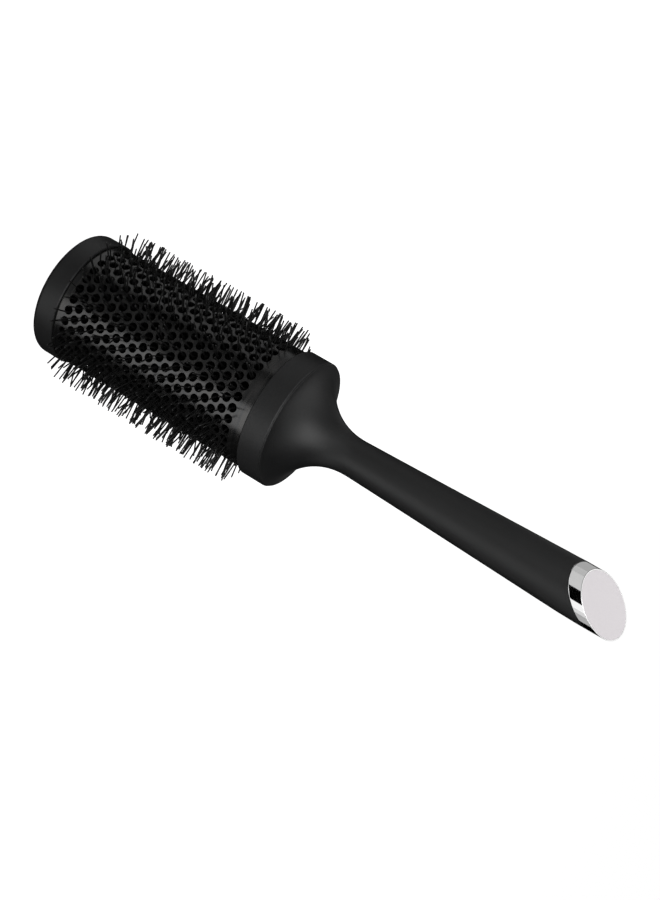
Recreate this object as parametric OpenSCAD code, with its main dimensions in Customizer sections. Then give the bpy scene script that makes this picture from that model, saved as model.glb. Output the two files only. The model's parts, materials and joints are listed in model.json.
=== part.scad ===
// Round thermal hair brush: a vented metal barrel over a twisted-wire bristle core, with a soft handle.
// It stands on the flat face of its end cap, at z = 0, and its axis is +Z. The slanted end of the handle
// is highest towards +X.

/* [Barrel] */
// Outside diameter of the metal barrel
barrel_d = 55; // [50:1:60]
// Wall thickness of the barrel
barrel_wall = 0.8; // [0.6:0.1:1.5]
// Number of rings of vent holes along the barrel
hole_rings = 21; // [5:2:21]
// Number of vent holes round each ring
holes_round = 34; // [20:2:36]
// Diameter of a vent hole
hole_d = 4; // [2.4:0.1:4.2]
// Distance between neighbouring rings of holes
ring_pitch = 4.34; // [4.2:0.02:4.4]
// Turn of the whole hole pattern about the axis, in degrees
hole_turn = 10.3; // [0:0.1:10.5]

/* [Bristles] */
// Radius that the bristle tips reach
bristle_r = 36.8; // [33:0.1:38]
// Thickness of one tuft where it passes its hole
tuft_d = 1.2; // [0.8:0.1:1.6]
// Diameter of each of the two twisted core wires
wire_d = 2; // [1.5:0.1:2.2]

/* [Cap and collar] */
// Length of the end cap's skirt
cap_h = 11; // [9:0.5:14]
// Length of the collar between barrel and handle
collar_h = 11; // [9:0.1:16]
// How far the cap stands out from the barrel
cap_lip = 1.2; // [0.8:0.1:2]
// How far the collar stands out from the barrel
collar_lip = 1.5; // [0.8:0.1:2]

/* [Handle] */
// Radius of the handle's thinnest place, the neck
neck_r = 8.2; // [7:0.1:10]
// Length of the bell between shoulder and neck
bell_h = 28.1; // [18:0.1:34]
// Length from the neck to where the end's slanted face crosses the axis
grip_h = 117; // [90:0.1:130]
// Thickness of the soft grip over the handle core
skin = 1.2; // [0.8:0.1:2]
// Slope of the slanted end, in degrees from square
end_tilt = 43; // [0:1:45]
// Length of the metal end piece along the axis
ferrule_h = 6; // [4:0.1:10]

/* [Hidden] */
ring_nodes = [for (i = [1:hole_rings]) str("bristle_ring_", i < 10 ? "0" : "", i)];

// Clearance between pieces that sit in or against each other
gap = 0.1;
// How far a cutting shape reaches past the surface that it cuts
over = 1;
// Facets of a round surface, and steps along the rounded stretches of an outline
round_fn = 96;
hole_fn = 24;
round_steps = 6;
bell_steps = 28;
grip_steps = 16;

// Heights along the axis
floor_t = 3.5;
first_ring = cap_h + 5;
last_ring = first_ring + (hole_rings - 1) * ring_pitch;
plain_band = 8;
barrel_seat = 8;
collar_bottom = last_ring + plain_band;
collar_top = collar_bottom + collar_h;
barrel_bottom = floor_t + gap;
barrel_top = collar_bottom + barrel_seat;
shoulder_z = collar_top + gap;
neck_z = shoulder_z + bell_h;
face_z = neck_z + grip_h;
core_bottom = 8;
core_top = neck_z + 2;

// End cap and the hub inside it
barrel_r = barrel_d / 2;
bore_r = barrel_r - barrel_wall;
cap_r = barrel_r + cap_lip;
cap_round = 2.2;
cap_edge = 0.3;
cap_dish_r = 22;
cap_dish = 0.8;
rim_bevel = 0.7;
plug_r = bore_r - gap;
plug_wall = 2;
plug_edge = 0.5;
hub_spokes = 6;
hub_rim = 2;
hub_h = 4;
hub_boss_r = 6;
hub_boss_h = 9;

// Bristle core
core_r = wire_d + 0.2;
core_turn = 20;
wire_slices = 44;
tuft_hub_r = 7.2;
tuft_hub_h = 2;
sleeve_r = 3.6;
sleeve_wall = 1.2;
sleeve_end = 4;

// Collar and the plug inside it
collar_r = barrel_r + collar_lip;
collar_edge = 0.4;
seat_rim = 2;
seat_boss_r = 7;
seat_relief = 3;

// Handle and its metal end
shoulder_step = 0.4;
shoulder_round = 0.4;
bell_r = collar_r - shoulder_step - shoulder_round;
bell_flare = 1.41;
bell_rise = 2.16;
taper = 0.029;
swell = 0.00003;
draw_in = 0.0014;
draw_in_length = 20;
spigot_r = 5;
spigot_h = 22;
end_room = 20;
end_web = 2;
plate_rim = 0.5;
plate_t = 0.6;
slant_block = 120;

// Angles of a quarter turn in n steps
function quarter(n) = [for (i = [0:n]) 90 * i / n];

// Outside of the handle, as [radius, height] points from the shoulder up: a small rounded shoulder, the bell,
// and a grip that swells towards its end and draws in a little again over its last stretch
function handle_r(z) =
  let (t = z - neck_z, last = max(0, z - face_z + draw_in_length))
    neck_r + taper * t + swell * t * t - draw_in * last * last;
function shoulder_point(a) = [
  bell_r + shoulder_round * cos(a),
  shoulder_z + shoulder_round * sin(a)
];
function bell_point(a) = [
  bell_r - (bell_r - neck_r) * pow(sin(a), 2 / bell_flare),
  shoulder_z + shoulder_round + (bell_h - shoulder_round) * (1 - pow(cos(a), 2 / bell_rise))
];
handle_outline = concat(
  [for (a = quarter(round_steps)) shoulder_point(a)],
  [for (a = quarter(bell_steps)) if (a > 0) bell_point(a)],
  [for (i = [1:grip_steps]) let (z = neck_z + i * (grip_h + end_room) / grip_steps) [handle_r(z), z]]
);

// The same outline moved inwards by t, square to itself
function inset(pts, t) = [
  for (i = [0:len(pts) - 1])
    let (a = pts[max(i - 1, 0)], b = pts[min(i + 1, len(pts) - 1)], d = (b - a) / norm(b - a))
      pts[i] + t * [-d.y, d.x]
];

function ring_z(i) = first_ring + (i - 1) * ring_pitch;
function ring_turn(i) = hole_turn + (i % 2 == 0 ? 180 / holes_round : 0);

// A cylinder with its bottom at z
module rod(r, z, h) {
  translate([0, 0, z]) cylinder(r = r, h = h, $fn = round_fn);
}

// A ring or tube with its bottom at z
module tube(r, hole_r, z, h) {
  difference() {
    rod(r, z, h);
    rod(hole_r, z - over, h + 2 * over);
  }
}

// All space above the slanted plane that crosses the axis at z
module above_slant(z) {
  translate([0, 0, z]) rotate([0, -end_tilt, 0])
    translate([-slant_block / 2, -slant_block / 2, 0]) cube(slant_block);
}

// The solid inside the handle outline, moved inwards by t, from the shoulder up
module handle_solid(t) {
  pts = [for (p = inset(handle_outline, t)) if (p.y > shoulder_z + gap / 10) p];
  rotate_extrude($fn = round_fn)
    polygon(concat([[0, shoulder_z], [pts[0].x, shoulder_z]], pts, [[0, pts[len(pts) - 1].y]]));
}

module end_cap() {
  inner = barrel_r + gap;
  color([0.10, 0.10, 0.105])
  rotate_extrude($fn = round_fn)
    polygon(concat(
      [[0, cap_dish], [cap_dish_r, cap_dish], [cap_dish_r + cap_dish, 0]],
      [for (a = quarter(round_steps))
        [cap_r - cap_round + cap_round * sin(a), cap_round - cap_round * cos(a)]],
      [[cap_r, cap_h - cap_edge], [cap_r - cap_edge, cap_h], [inner + gap, cap_h],
       [inner, cap_h - rim_bevel], [inner, floor_t], [plug_r, floor_t], [plug_r, cap_h - 2 * plug_edge],
       [plug_r - plug_edge, cap_h - plug_edge], [plug_r - plug_wall, cap_h - plug_edge],
       [plug_r - plug_wall, floor_t], [0, floor_t]]));
}

// Spoked disc that centres the tip of the wire core in the cap
module tip_hub() {
  rim_r = plug_r - plug_wall - gap;
  base = floor_t + gap;
  color([0.16, 0.16, 0.17])
  difference() {
    union() {
      tube(rim_r, rim_r - hub_rim, base, hub_h);
      rod(hub_boss_r, base, hub_boss_h);
      for (i = [0:hub_spokes - 1])
        rotate([0, 0, i * 360 / hub_spokes]) translate([hub_boss_r - over, -hub_rim / 2, base])
          cube([rim_r - hub_boss_r, hub_rim, hub_h]);
    }
    rod(core_r, core_bottom - gap, hub_boss_h);
  }
}

module barrel() {
  height = barrel_top - barrel_bottom;
  color([0.22, 0.22, 0.235])
  difference() {
    rod(barrel_r, barrel_bottom, height);
    rod(bore_r, barrel_bottom - over, height + 2 * over);
    for (i = [1:hole_rings], j = [0:holes_round - 1])
      rotate([0, 0, ring_turn(i) + j * 360 / holes_round])
        translate([bore_r - over, 0, ring_z(i)]) rotate([0, 90, 0])
          cylinder(d = hole_d, h = barrel_wall + 2 * over, $fn = hole_fn);
  }
}

// One of the two wires, twisted round the axis
module core_wire(start) {
  length = core_top - core_bottom;
  color([0.72, 0.72, 0.74])
  translate([0, 0, core_bottom]) rotate([0, 0, start])
    linear_extrude(height = length, twist = -360 * length / core_turn, slices = wire_slices)
      translate([(wire_d + gap) / 2, 0]) circle(d = wire_d, $fn = 8);
}

// One ring of bristle tufts: a flat bundle round the wires, with a tuft through each hole of its ring
module bristle_ring(i) {
  color([0.07, 0.07, 0.075])
  translate([0, 0, ring_z(i)]) rotate([0, 0, ring_turn(i)])
    difference() {
      union() {
        rod(tuft_hub_r, -tuft_hub_h / 2, tuft_hub_h);
        for (j = [0:holes_round - 1])
          rotate([0, 0, j * 360 / holes_round]) translate([tuft_hub_r - over, 0, 0]) rotate([0, 90, 0])
            cylinder(d = tuft_d, h = bristle_r - tuft_hub_r + over, $fn = 6);
      }
      rod(core_r, -tuft_hub_h, 2 * tuft_hub_h);
    }
}

module collar() {
  inner = barrel_r + gap;
  color([0.13, 0.13, 0.135])
  rotate_extrude($fn = round_fn)
    polygon([[inner + collar_edge, collar_bottom], [collar_r - collar_edge, collar_bottom],
             [collar_r, collar_bottom + collar_edge], [collar_r, collar_top - collar_edge],
             [collar_r - collar_edge, collar_top], [inner, collar_top], [inner, collar_bottom + collar_edge]]);
}

// Closes the handle end of the barrel and carries the collar
module barrel_plug() {
  color([0.16, 0.16, 0.17])
  difference() {
    union() {
      rod(plug_r, collar_bottom + over, barrel_seat);
      rod(barrel_r, barrel_top + gap, collar_top - barrel_top - gap);
    }
    rod(core_r, collar_bottom, collar_h + over);
    tube(plug_r - seat_rim, seat_boss_r, collar_bottom, seat_relief + over);
  }
}

// Crimped sleeve that locks the wire core in the handle
module core_sleeve() {
  color([0.75, 0.68, 0.45])
  tube(sleeve_r, sleeve_r - sleeve_wall, shoulder_z + over, core_top - shoulder_z + sleeve_end);
}

module handle_core() {
  sleeve_room = core_top + sleeve_end + over + gap;
  color([0.18, 0.18, 0.19])
  difference() {
    handle_solid(skin + gap / 2);
    above_slant(face_z - ferrule_h - gap);
    rod(sleeve_r + gap, shoulder_z - over, sleeve_room - shoulder_z + over);
    rod(spigot_r + gap, face_z - ferrule_h - spigot_h, spigot_h + end_room);
  }
}

module handle_grip() {
  color([0.09, 0.09, 0.095])
  difference() {
    handle_solid(0);
    handle_solid(skin);
    above_slant(face_z - ferrule_h - gap);
  }
}

// The part of the handle solid, moved inwards by t, between two slanted planes
module slanted_slice(t, low, high) {
  difference() {
    intersection() {
      handle_solid(t);
      above_slant(low);
    }
    above_slant(high);
  }
}

// The bore for the spigot, or the spigot itself, from its foot up to a slanted plane
module slant_ended_rod(r, foot, high) {
  difference() {
    rod(r, foot, spigot_h + end_room);
    above_slant(high);
  }
}

// Polished end piece, cut on the same slant at both ends
module ferrule() {
  color([0.86, 0.86, 0.88])
  difference() {
    slanted_slice(0, face_z - ferrule_h, face_z);
    slanted_slice(plate_rim, face_z - plate_t, face_z + over);
    slant_ended_rod(spigot_r + gap, face_z - ferrule_h - spigot_h, face_z - end_web);
  }
}

// Peg that holds the end piece in the handle core
module ferrule_spigot() {
  color([0.6, 0.6, 0.62])
  slant_ended_rod(spigot_r, face_z - ferrule_h - spigot_h + gap, face_z - end_web - gap);
}

module face_plate() {
  color([0.85, 0.82, 0.82])
  slanted_slice(plate_rim + gap, face_z - plate_t + gap, face_z);
}

end_cap();
tip_hub();
barrel();
core_wire(0);  // wire_a
core_wire(180);  // wire_b
for (i = [1:hole_rings])
  bristle_ring(i);
collar();
barrel_plug();
core_sleeve();
handle_core();
handle_grip();
ferrule();
ferrule_spigot();
face_plate();
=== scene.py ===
"""Looks of the round barrel brush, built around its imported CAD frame.

Metres throughout. The brush stands on its end cap at z = 0, with its axis along +Z.
Turns and azimuths go round that axis; +X points to the high side of the slanted metal end.
"""

import json
import math
import random

import bmesh
import bpy
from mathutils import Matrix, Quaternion, Vector


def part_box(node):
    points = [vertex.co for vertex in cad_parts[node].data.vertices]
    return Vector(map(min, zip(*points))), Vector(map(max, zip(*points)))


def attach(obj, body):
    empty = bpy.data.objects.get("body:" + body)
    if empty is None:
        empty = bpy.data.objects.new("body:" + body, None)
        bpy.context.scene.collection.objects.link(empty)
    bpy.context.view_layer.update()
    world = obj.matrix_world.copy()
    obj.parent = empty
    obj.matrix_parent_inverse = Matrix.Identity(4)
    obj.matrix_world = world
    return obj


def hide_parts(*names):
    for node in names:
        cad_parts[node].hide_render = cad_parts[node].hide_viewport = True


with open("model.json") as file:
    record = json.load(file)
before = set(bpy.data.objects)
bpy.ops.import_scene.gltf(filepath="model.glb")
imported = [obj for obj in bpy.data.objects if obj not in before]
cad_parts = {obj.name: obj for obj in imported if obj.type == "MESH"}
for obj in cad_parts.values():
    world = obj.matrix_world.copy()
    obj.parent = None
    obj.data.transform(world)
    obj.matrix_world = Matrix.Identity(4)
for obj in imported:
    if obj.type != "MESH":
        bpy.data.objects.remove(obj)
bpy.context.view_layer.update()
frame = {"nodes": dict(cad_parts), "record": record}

MM = 0.001
BODY = "root"
UP = Vector((0, 0, 1))
WHITE = (1, 1, 1, 1)

# Most of a noise texture's values lie between these
NOISE_LOW = 0.3
NOISE_HIGH = 0.7

# ---------------------------------------------------------------- places read from the frame

BARREL_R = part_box("barrel")[1].x
WIRE_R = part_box("wire_a")[1].x
TIP_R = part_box("bristle_ring_01")[1].x
END_MOUNT = next(m for m in frame["record"]["mounts"] if m["name"] == "slanted_end")
FACE_Z = END_MOUNT["pos_m"][2]
FACE_NORMAL = Vector(END_MOUNT["axis"]).normalized()
FACE_SLOPE = -FACE_NORMAL.x / FACE_NORMAL.z
RING_NODES = sorted(n for n in frame["nodes"] if n.startswith("bristle_ring_"))

# The lattice of vent holes, as the CAD makes it
HOLES_ROUND = 34
HOLE_TURN = math.radians(10.3)
HOLE_STEP = 2 * math.pi / HOLES_ROUND


def ring_z(node):
    """Height of one ring of holes."""
    low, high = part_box(node)
    return (low.z + high.z) / 2


def ring_turn(number):
    """Turn of the first hole of a ring: every second ring sits half a step further round."""
    return HOLE_TURN + (HOLE_STEP / 2 if number % 2 == 0 else 0)


def polar(radius, angle, z):
    """A point at that radius, angle and height about the brush's axis."""
    return Vector((radius * math.cos(angle), radius * math.sin(angle), z))


# ---------------------------------------------------------------- material helpers


class Shader:
    """One material's node tree, with short calls to add and join nodes."""

    def __init__(self, name):
        self.material = bpy.data.materials.new(name)
        self.material.use_nodes = True
        self.tree = self.material.node_tree
        self.surface = self.tree.nodes["Principled BSDF"]

    def node(self, kind, **settings):
        made = self.tree.nodes.new("ShaderNode" + kind)
        for key, value in settings.items():
            setattr(made, key, value)
        return made

    def join(self, source, target):
        self.tree.links.new(source, target)

    def place(self, stretch=(1, 1, 1)):
        """Object coordinates in metres, stretched along the axes."""
        coords = self.node("TexCoord")
        mapping = self.node("Mapping")
        mapping.inputs["Scale"].default_value = stretch
        self.join(coords.outputs["Object"], mapping.inputs["Vector"])
        return mapping.outputs["Vector"]

    def noise(self, grain, detail, stretch=(1, 1, 1)):
        """Noise whose features are about grain metres across."""
        texture = self.node("TexNoise")
        texture.inputs["Scale"].default_value = 1 / grain
        texture.inputs["Detail"].default_value = detail
        self.join(self.place(stretch), texture.inputs["Vector"])
        return texture.outputs["Fac"]

    def ranged(self, value, low, high, start=NOISE_LOW, end=NOISE_HIGH):
        """value from start to end mapped to low to high."""
        mapped = self.node("MapRange")
        for key, number in (("From Min", start), ("From Max", end), ("To Min", low), ("To Max", high)):
            mapped.inputs[key].default_value = number
        self.join(value, mapped.inputs["Value"])
        return mapped.outputs["Result"]

    def axis_distance(self):
        """Distance from the brush's axis."""
        flat = self.node("VectorMath", operation="LENGTH")
        self.join(self.place(stretch=(1, 1, 0)), flat.inputs[0])
        return flat.outputs["Value"]

    def blend(self, factor, dark, light):
        """A colour between dark and light, each a colour or another node's output."""
        mix = self.node("Mix", data_type="RGBA")
        self.join(factor, mix.inputs["Factor"])
        for side, colour in (("A", dark), ("B", light)):
            if isinstance(colour, tuple):
                mix.inputs[side].default_value = (*colour, 1)
            else:
                self.join(colour, mix.inputs[side])
        return mix.outputs["Result"]

    def mottled(self, noise, dark, light):
        """A colour that follows a noise from dark to light."""
        return self.blend(self.ranged(noise, low=0, high=1), dark, light)

    def bump(self, height, depth, under=None):
        """Surface relief of that depth in metres, over another bump if one is given."""
        relief = self.node("Bump")
        relief.inputs["Strength"].default_value = 1
        relief.inputs["Distance"].default_value = depth
        self.join(height, relief.inputs["Height"])
        if under is not None:
            self.join(under, relief.inputs["Normal"])
        return relief.outputs["Normal"]

    def finish(self, colour=None, roughness=None, normal=None, **values):
        """Joins what is given to the surface and returns the material."""
        for key, source in (("Base Color", colour), ("Roughness", roughness), ("Normal", normal)):
            if source is not None:
                self.join(source, self.surface.inputs[key])
        for key, value in values.items():
            self.surface.inputs[key.replace("_", " ")].default_value = value
        return self.material


def grey(level, warmth=0.0):
    """A grey of that linear level, redder and less blue with warmth."""
    return (level * (1 + warmth), level, level * (1 - warmth))


# ---------------------------------------------------------------- materials


def moulded_plastic(name, level, grain, depth, rough):
    """Black moulded plastic with a fine spark-eroded grain."""
    s = Shader(name)
    cloud = s.noise(grain=12 * MM, detail=4)
    fine = s.noise(grain, detail=3)
    colour = s.mottled(cloud, grey(level * 0.85, warmth=-0.02), grey(level * 1.15, warmth=-0.02))
    roughness = s.ranged(fine, low=rough - 0.05, high=rough + 0.07)
    return s.finish(colour, roughness, s.bump(fine, depth))


def soft_touch(name):
    """Rubber-like coating: a nearly even satin black with a very fine grain and faint clouding."""
    s = Shader(name)
    cloud = s.noise(grain=18 * MM, detail=5)
    fine = s.noise(grain=0.22 * MM, detail=2)
    colour = s.mottled(cloud, grey(0.008, warmth=-0.03), grey(0.011, warmth=-0.03))
    roughness = s.ranged(cloud, low=0.46, high=0.53)
    return s.finish(colour, roughness, s.bump(fine, depth=0.010 * MM), Specular_IOR_Level=0.6)


def coated_barrel(name):
    """Glossy dark coating on a drawn metal tube, with faint streaks round it; dull inside it, and painted
    near black there as painted shade in the tube and its vent holes.
    """
    s = Shader(name)
    streaks = s.noise(grain=1.2 * MM, detail=3, stretch=(0.08, 0.08, 1))
    specks = s.noise(grain=0.5 * MM, detail=2)
    # This mask's dark side is painted shade: the tube's inside and the walls of its vent holes are painted
    # near black
    outside_vs_painted_shade = s.ranged(s.axis_distance(), low=0, high=1, start=BARREL_R - 0.30 * MM, end=BARREL_R - 0.05 * MM)
    coat = s.mottled(streaks, grey(0.060, warmth=-0.02), grey(0.085, warmth=0.02))
    s.join(s.ranged(outside_vs_painted_shade, low=0.2, high=0.9, start=0, end=1), s.surface.inputs["Metallic"])
    waves = s.bump(streaks, depth=0.006 * MM)
    # grey(0.006) below is the painted shade inside the tube and its holes
    return s.finish(
        colour=s.blend(outside_vs_painted_shade, dark=grey(0.006), light=coat),
        roughness=s.blend(outside_vs_painted_shade, dark=grey(0.7), light=s.ranged(streaks, low=0.20, high=0.28)),
        normal=s.bump(specks, depth=0.002 * MM, under=waves),
    )


def drawn_wire(name, level, warmth, rough):
    """Plain drawn or turned metal with fine lines along the axis."""
    s = Shader(name)
    lines = s.noise(grain=0.3 * MM, detail=3, stretch=(1, 1, 0.1))
    colour = s.mottled(lines, grey(level * 0.85, warmth), grey(level, warmth))
    roughness = s.ranged(lines, low=rough - 0.06, high=rough + 0.08)
    return s.finish(colour, roughness, s.bump(lines, depth=0.004 * MM), Metallic=1.0)


def polished_chrome(name):
    """Mirror plating with a very slight haze."""
    s = Shader(name)
    haze = s.noise(grain=4 * MM, detail=5)
    colour = s.mottled(haze, grey(0.86), grey(0.90, warmth=0.004))
    roughness = s.ranged(haze, low=0.04, high=0.09)
    return s.finish(colour, roughness, s.bump(haze, depth=0.001 * MM), Metallic=1.0)


def satin_plate(name):
    """Pale satin metal, very slightly pink, with short brushed lines along the slant."""
    s = Shader(name)
    brushed = s.noise(grain=0.12 * MM, detail=3, stretch=(0.12, 1, 0.12))
    colour = s.mottled(brushed, (0.80, 0.765, 0.785), (0.86, 0.825, 0.845))
    roughness = s.ranged(brushed, low=0.34, high=0.44)
    return s.finish(colour, roughness, s.bump(brushed, depth=0.002 * MM), Metallic=1.0)


def bristle_nylon(name):
    """Black nylon filaments, painted paler at their tips as a painted highlight where the tips catch the
    light.
    """
    s = Shader(name)
    # Paler towards the tips: a painted highlight where the filament tips catch the light
    tip = s.ranged(s.axis_distance(), low=0, high=1, start=TIP_R - 1.6 * MM, end=TIP_R)
    fine = s.noise(grain=0.4 * MM, detail=2)
    colour = s.blend(tip, dark=grey(0.008), light=grey(0.016))
    roughness = s.ranged(fine, low=0.26, high=0.38)
    return s.finish(colour, roughness, s.bump(fine, depth=0.004 * MM))


def make_materials():
    """Every material of the brush, by the record's slot name."""
    fine_grain = {"grain": 0.35 * MM, "depth": 0.012 * MM, "rough": 0.47}
    coarse_grain = {"grain": 0.6 * MM, "depth": 0.020 * MM, "rough": 0.60}
    return {
        "cap_plastic": moulded_plastic("cap_plastic", level=0.015, **fine_grain),
        "inner_plastic": moulded_plastic("inner_plastic", level=0.020, **coarse_grain),
        "soft_grip": soft_touch("soft_grip"),
        "barrel_metal": coated_barrel("barrel_metal"),
        "core_wire": drawn_wire("core_wire", level=0.55, warmth=0.0, rough=0.30),
        "sleeve_brass": drawn_wire("sleeve_brass", level=0.50, warmth=0.35, rough=0.35),
        "spigot_metal": drawn_wire("spigot_metal", level=0.60, warmth=0.0, rough=0.40),
        "polished_end": polished_chrome("polished_end"),
        "satin_plate": satin_plate("satin_plate"),
        "bristle_nylon": bristle_nylon("bristle_nylon"),
    }


def paint_frame(materials):
    """Gives each CAD node the material of its slot in the record."""
    for subpart in frame["record"]["subparts"]:
        mesh = frame["nodes"][subpart["node"]].data
        mesh.materials.clear()
        mesh.materials.append(materials[subpart["material_slot"]])


# ---------------------------------------------------------------- mesh helpers


def add_piece(name, mesh_data, slot, materials, replaced):
    """A finished mesh as a piece of the brush that stands for some CAD nodes."""
    mesh = bpy.data.meshes.new(name)
    mesh_data.to_mesh(mesh)
    mesh_data.free()
    mesh.materials.append(materials[slot])
    mesh.shade_smooth()
    piece = bpy.data.objects.new(name, mesh)
    bpy.context.scene.collection.objects.link(piece)
    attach(piece, BODY)
    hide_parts(*replaced)


def add_loop(mesh, points):
    """New vertices at those points."""
    return [mesh.verts.new(p) for p in points]


def bridge(mesh, lower, upper):
    """Quads between two closed loops of the same length."""
    count = len(lower)
    for i in range(count):
        j = (i + 1) % count
        mesh.faces.new((lower[i], lower[j], upper[j], upper[i]))


def close_loop(mesh, loop, flip=False):
    """One face that closes a loop."""
    mesh.faces.new(loop[::-1] if flip else loop)


def sweep(mesh, path, radii, sides):
    """A closed tube along path with a radius for each of its points."""
    loops = []
    for i, point in enumerate(path):
        along = (path[min(i + 1, len(path) - 1)] - path[max(i - 1, 0)]).normalized()
        across = along.cross(UP).normalized()
        second = along.cross(across)
        ring = []
        for k in range(sides):
            turn = 2 * math.pi * k / sides
            ring.append(point + radii[i] * (math.cos(turn) * across + math.sin(turn) * second))
        loops.append(add_loop(mesh, ring))
    for lower, upper in zip(loops, loops[1:]):
        bridge(mesh, lower, upper)
    close_loop(mesh, loops[0], flip=True)
    close_loop(mesh, loops[-1])


# ---------------------------------------------------------------- bristles

BRISTLE_SEED = 2100
FILAMENTS_PER_HOLE = (1, 1, 2, 2)
FILAMENT_R = 0.33 * MM
FILAMENT_SIDES = 6
FREE_STEPS = 4
# Shares of FILAMENT_R at the last point and at the rounded tip past it, and that tip's length
END_SHARE = 0.95
TIP_SHARE = 0.55
TIP_LENGTH = 0.5
# Inside the barrel: the tuft's radius, the gap it leaves before the hole, and its points
TUFT_R = 0.9 * MM
TUFT_STOP = 2.5 * MM
INNER_POINTS = 3
# How far filaments scatter along the wires, and across their hole
ROOT_SCATTER = 1 * MM
HOLE_SPREAD = 1 * MM
# How much filaments differ outside: in reach, and in lean with their tuft and on their own
TIP_VARIATION = 1.7 * MM
TUFT_LEAN = 0.12
OWN_LEAN = 0.05
# A filament leaves its hole part of the way towards its heading, and gets there before its tip
BEND_START = 0.55
BEND_RATE = 0.6


def filament_path(rng, angle, z, tuft_lean):
    """Points of one filament from the wire core, through its hole, to its tip, leaning with its tuft."""
    out = Vector((math.cos(angle), math.sin(angle), 0))
    side = Vector((-out.y, out.x, 0))
    around = rng.uniform(0, 2 * math.pi)
    offset = HOLE_SPREAD * math.sqrt(rng.random())
    gate = BARREL_R * out + z * UP + offset * (math.cos(around) * side + math.sin(around) * UP)
    root = WIRE_R * out + (z + rng.uniform(-1, 1) * ROOT_SCATTER) * UP
    lean = tuft_lean[0] + rng.gauss(0, OWN_LEAN)
    sway = tuft_lean[1] + rng.gauss(0, OWN_LEAN)
    reach = TIP_R - BARREL_R - rng.random() ** 2 * TIP_VARIATION
    heading = (out + lean * UP + sway * side).normalized()
    through = (gate - root).normalized()
    path = [root, root.lerp(gate, 0.5), gate - TUFT_STOP * through, gate]
    for i in range(1, FREE_STEPS + 1):
        share = i / FREE_STEPS
        turned = through.lerp(heading, min(1, BEND_START + BEND_RATE * share))
        path.append(path[-1] + turned.normalized() * reach / FREE_STEPS)
    furthest = TIP_R - FILAMENT_R
    radius = math.hypot(path[-1].x, path[-1].y)
    if radius > furthest:
        path[-1] = Vector((path[-1].x * furthest / radius, path[-1].y * furthest / radius, path[-1].z))
    return path


def add_filament(mesh, path):
    """One filament with a rounded tip; inside the barrel it stands for its whole tuft."""
    end = path[-1] - path[-2]
    tip = path[-1] + end.normalized() * FILAMENT_R * TIP_LENGTH
    radii = [TUFT_R] * INNER_POINTS + [FILAMENT_R] * (len(path) - INNER_POINTS - 1)
    radii += [FILAMENT_R * END_SHARE, FILAMENT_R * TIP_SHARE]
    sweep(mesh, path + [tip], radii, FILAMENT_SIDES)


def make_bristles(materials):
    """One piece per ring of holes, with a few filaments through each hole."""
    for number, node in enumerate(RING_NODES, start=1):
        rng = random.Random(BRISTLE_SEED + number)
        mesh = bmesh.new()
        z = ring_z(node)
        for hole in range(HOLES_ROUND):
            angle = ring_turn(number) + hole * HOLE_STEP
            tuft_lean = rng.gauss(0, TUFT_LEAN), rng.gauss(0, TUFT_LEAN)
            for _ in range(rng.choice(FILAMENTS_PER_HOLE)):
                add_filament(mesh, filament_path(rng, angle, z, tuft_lean))
        add_piece(f"bristles_{number:02d}", mesh, "bristle_nylon", materials, [node])


# ---------------------------------------------------------------- metal end

END_FACETS = 192
EDGE_STEPS = 7
SLANT_PASSES = 6
FLAT_TOLERANCE = 0.01 * MM
# The band: the rounding of its outer edge, the bevel at its seam with the handle, and its hidden lips
END_EDGE = 0.16 * MM
SEAM_EDGE = 0.5 * MM
SEAM_DEPTH = 0.14 * MM
LIP_WIDTH = 3 * MM
# The plate: the rim round it, the gap between them, its recess, and the rounding of both their edges
PLATE_RIM = 0.36 * MM
PLATE_GAP = 0.02 * MM
PLATE_DEPTH = 0.4 * MM
PLATE_EDGE = 0.04 * MM


def drop_below_face(point):
    """How far a point lies below the plane of the slanted face, along the axis."""
    return FACE_Z + FACE_SLOPE * point.x - point.z


# The metal end's length, and how far its slanted face reaches on three sides
END_POINTS = [v.co for v in frame["nodes"]["ferrule"].data.vertices]
BAND_LENGTH = max(drop_below_face(p) for p in END_POINTS)
FACE_POINTS = [p for p in END_POINTS if drop_below_face(p) < FLAT_TOLERANCE]
LOW_R = -min(p.x for p in FACE_POINTS)
MIDDLE_R = max(p.y for p in FACE_POINTS)
TOP_R = max(p.x for p in FACE_POINTS)


def end_radius(z):
    """Radius of the metal end at that height: the parabola through its face's low edge, middle and top."""
    x = (z - FACE_Z) / FACE_SLOPE
    low = (x - TOP_R) * x / ((LOW_R + TOP_R) * LOW_R)
    middle = (x + LOW_R) * (TOP_R - x) / (LOW_R * TOP_R)
    top = (x + LOW_R) * x / ((LOW_R + TOP_R) * TOP_R)
    return low * LOW_R + middle * MIDDLE_R + top * TOP_R


def slanted_loop(drop, inwards=0.0):
    """A loop round the metal end on the plane drop below its face, moved inwards.

    A point's radius depends on its height, and its height on its radius, so both are found in a few passes.
    """
    points = []
    for i in range(END_FACETS):
        angle = 2 * math.pi * i / END_FACETS
        z = FACE_Z - drop
        for _ in range(SLANT_PASSES):
            radius = end_radius(z) - inwards
            z = FACE_Z - drop + FACE_SLOPE * radius * math.cos(angle)
        points.append(polar(radius, angle, z))
    return points


def rounded(before, corner, after):
    """Loops that round an edge, from the loop before its corner to the loop after it."""
    loops = []
    for i in range(EDGE_STEPS + 1):
        t = i / EDGE_STEPS
        loops.append([a.lerp(c, t).lerp(c.lerp(b, t), t) for a, c, b in zip(before, corner, after)])
    return loops


def build_rings(loops):
    """A mesh of bridged loops, closed at both ends."""
    mesh = bmesh.new()
    rows = [add_loop(mesh, points) for points in loops]
    for lower, upper in zip(rows, rows[1:]):
        bridge(mesh, lower, upper)
    close_loop(mesh, rows[0], flip=True)
    close_loop(mesh, rows[-1])
    return mesh


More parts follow.
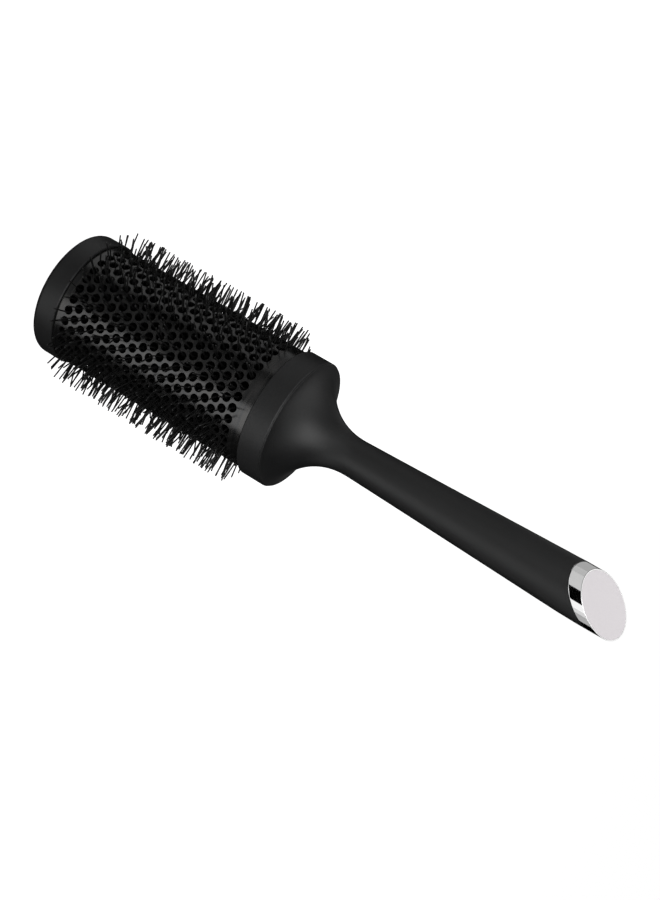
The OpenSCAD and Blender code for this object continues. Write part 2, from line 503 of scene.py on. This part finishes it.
def make_metal_end(materials):
    """The polished band with its rounded edges, and the satin plate set into its face.

    The loops close to each rounded edge keep the smooth shading level between the edges.
    """
    seam = BAND_LENGTH
    seam_bevel = rounded(
        slanted_loop(seam, SEAM_DEPTH),
        slanted_loop(seam - SEAM_EDGE / 2),
        slanted_loop(seam - SEAM_EDGE),
    )
    outer_edge = rounded(slanted_loop(END_EDGE), slanted_loop(0), slanted_loop(0, END_EDGE))
    rim_edge = rounded(
        slanted_loop(0, PLATE_RIM - PLATE_EDGE / 2),
        slanted_loop(0, PLATE_RIM),
        slanted_loop(PLATE_EDGE / 2, PLATE_RIM),
    )
    band = [
        slanted_loop(seam, LIP_WIDTH),
        slanted_loop(seam, 2 * SEAM_DEPTH),
        *seam_bevel,
        slanted_loop(seam - 1.5 * SEAM_EDGE),
        slanted_loop(2 * END_EDGE),
        *outer_edge,
        slanted_loop(0, PLATE_RIM - PLATE_EDGE),
        *rim_edge,
        slanted_loop(PLATE_EDGE, PLATE_RIM),
        slanted_loop(PLATE_DEPTH, PLATE_RIM),
        slanted_loop(PLATE_DEPTH, LIP_WIDTH),
    ]
    add_piece("metal_end_band", build_rings(band), "polished_end", materials, ["ferrule"])
    side = PLATE_RIM + PLATE_GAP
    plate_edge = rounded(
        slanted_loop(PLATE_EDGE, side),
        slanted_loop(0, side),
        slanted_loop(0, side + PLATE_EDGE),
    )
    plate = [
        slanted_loop(PLATE_DEPTH, side + PLATE_EDGE),
        slanted_loop(PLATE_DEPTH, side),
        *plate_edge,
        slanted_loop(0, side + 3 * PLATE_EDGE),
    ]
    add_piece("end_plate", build_rings(plate), "satin_plate", materials, ["face_plate"])


# ---------------------------------------------------------------- studio

# The camera's place round its target, its roll about the line of sight, and its lens
VIEW_AZIMUTH = math.radians(-143.7)
VIEW_ELEVATION = math.radians(19.03)
VIEW_ROLL = math.radians(120.66)
VIEW_DISTANCE = 0.6523
VIEW_TARGET = Vector((0.00138, -0.00188, 0.13866))
LENS_MM = 63.5
SENSOR_MM = 36
CLIP_NEAR = 0.01
CLIP_FAR = 100
FLOOR_HALF_SIZE = 12
PANEL_DISTANCE = 1.0


def unit_vector(azimuth, elevation):
    """Unit vector towards that azimuth and elevation."""
    level = math.cos(elevation)
    return Vector((level * math.cos(azimuth), level * math.sin(azimuth), math.sin(elevation)))


def make_camera():
    """Camera at the photograph's viewing angle."""
    data = bpy.data.cameras.new("camera")
    data.lens = LENS_MM
    data.sensor_width = SENSOR_MM
    data.clip_start = CLIP_NEAR
    data.clip_end = CLIP_FAR
    camera = bpy.data.objects.new("camera", data)
    bpy.context.scene.collection.objects.link(camera)
    back = unit_vector(VIEW_AZIMUTH, VIEW_ELEVATION)
    camera.location = VIEW_TARGET + VIEW_DISTANCE * back
    camera.rotation_mode = "QUATERNION"
    camera.rotation_quaternion = back.to_track_quat("Z", "Y") @ Quaternion((0, 0, 1), VIEW_ROLL)
    bpy.context.scene.camera = camera


def make_floor():
    """Plain white floor. Only the camera sees it, so the panels alone light the brush."""
    mesh_data = bmesh.new()
    bmesh.ops.create_grid(mesh_data, x_segments=1, y_segments=1, size=FLOOR_HALF_SIZE)
    mesh = bpy.data.meshes.new("floor")
    mesh_data.to_mesh(mesh)
    mesh_data.free()
    floor = bpy.data.objects.new("floor", mesh)
    bpy.context.scene.collection.objects.link(floor)
    paper = Shader("floor_paper")
    mesh.materials.append(
        paper.finish(Base_Color=(*grey(0.8), 1), Emission_Color=WHITE, Emission_Strength=1.0)
    )
    floor.visible_diffuse = False
    floor.visible_glossy = False
    floor.visible_transmission = False
    floor.visible_shadow = False


def make_world():
    """White behind the floor's edge for the camera, and no light of its own."""
    world = bpy.data.worlds.new("studio")
    world.use_nodes = True
    background = world.node_tree.nodes["Background"]
    background.inputs["Color"].default_value = WHITE
    world.cycles_visibility.diffuse = False
    world.cycles_visibility.glossy = False
    bpy.context.scene.world = world


def add_panel(name, turn, z, size, radiance, distance=PANEL_DISTANCE, aim_z=None):
    """A soft light panel at that height, turned about the brush's axis from the camera's side.

    It faces the axis at the height aim_z, or level if none is given. Its size is its width and height.
    """
    target = Vector((0, 0, z if aim_z is None else aim_z))
    data = bpy.data.lights.new(name, "AREA")
    data.shape = "RECTANGLE"
    data.size, data.size_y = size
    data.energy = radiance * math.pi * data.size * data.size_y
    panel = bpy.data.objects.new(name, data)
    bpy.context.scene.collection.objects.link(panel)
    panel.location = polar(distance, VIEW_AZIMUTH + math.radians(turn), z)
    panel.rotation_mode = "QUATERNION"
    panel.rotation_quaternion = (panel.location - target).to_track_quat("Z", "Y")
    panel.visible_camera = False


def make_lights():
    """Bright panels on one side of the camera, weaker ones on its other side, in front and behind.

    A panel at some turn is mirrored by the surfaces that face half that turn. The panels at z = 0.14 to
    0.24 make the bright and dark stripes of the polished end, and side_above lights its slanted plate.
    """
    add_panel("key", turn=40, z=-0.34, size=(0.85, 0.58), radiance=1.45)
    add_panel("key_high", turn=57, z=0.18, size=(0.46, 0.34), radiance=1.05)
    add_panel("key_middle", turn=78, z=0.18, size=(0.28, 0.36), radiance=0.75)
    add_panel("key_far", turn=102, z=0.18, size=(0.56, 0.32), radiance=0.45)
    add_panel("key_above", turn=12, z=0.87, size=(0.95, 0.70), radiance=2.7, distance=0.60, aim_z=0.13)
    add_panel("side", turn=-86, z=-0.55, size=(1.20, 0.50), radiance=0.60)
    add_panel("side_near", turn=-30, z=0.24, size=(1.10, 0.58), radiance=0.62)
    add_panel("side_middle", turn=-72, z=0.18, size=(0.46, 0.44), radiance=0.52)
    add_panel("side_far", turn=-117, z=0.14, size=(1.28, 0.28), radiance=0.42)
    add_panel("side_above", turn=-118, z=1.11, size=(0.80, 0.80), radiance=1.08, distance=0.63, aim_z=0.266)
    add_panel("front", turn=0, z=-0.75, size=(2.60, 1.10), radiance=0.13, distance=1.6)
    add_panel("front_high", turn=-8, z=-0.27, size=(1.00, 0.24), radiance=0.7, distance=1.6)
    add_panel("back", turn=180, z=0.1, size=(0.80, 1.20), radiance=0.12, distance=1.5)


def set_view():
    """Plain display colours, so that white paper is white."""
    settings = bpy.context.scene.view_settings
    settings.view_transform = "Standard"
    settings.look = "None"


materials = make_materials()
paint_frame(materials)
make_bristles(materials)
make_metal_end(materials)
make_camera()
make_floor()
make_world()
make_lights()
set_view()
